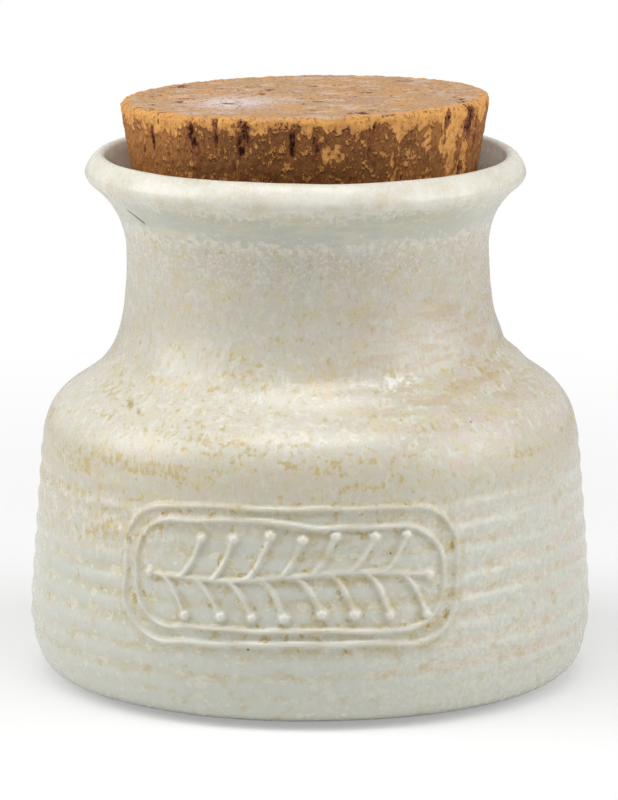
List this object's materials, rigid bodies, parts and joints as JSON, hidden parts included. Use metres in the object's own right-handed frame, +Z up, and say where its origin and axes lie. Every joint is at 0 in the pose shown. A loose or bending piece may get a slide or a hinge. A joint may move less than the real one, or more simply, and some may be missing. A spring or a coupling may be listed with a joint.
{
  "type": "salt pig",
  "caption": "Squat thrown stoneware salt jar with a waisted neck, rolled rim, throwing rings and a framed blank panel, closed by a tapered cork stopper that lifts out.",
  "frame": {"origin": "centre of the foot ring, on the plane that the jar stands on", "axes": "+Z up along the jar's axis of turning; the framed panel faces -Y; +X is to the right of someone facing the panel"},
  "size_m": [0.1297, 0.1304, 0.134],
  "materials": {
    "glaze": "satin",
    "cork": "matte"
  },
  "bodies": {
    "jar": {"jar": "glaze"},
    "stopper": {"cork_stopper": "cork"}
  },
  "joints": [
    {"name": "stopper_lift", "type": "slide", "parent": "jar", "child": "stopper", "axis": [0, 0, 1], "range_m": [0, 0.1]}
  ]
}
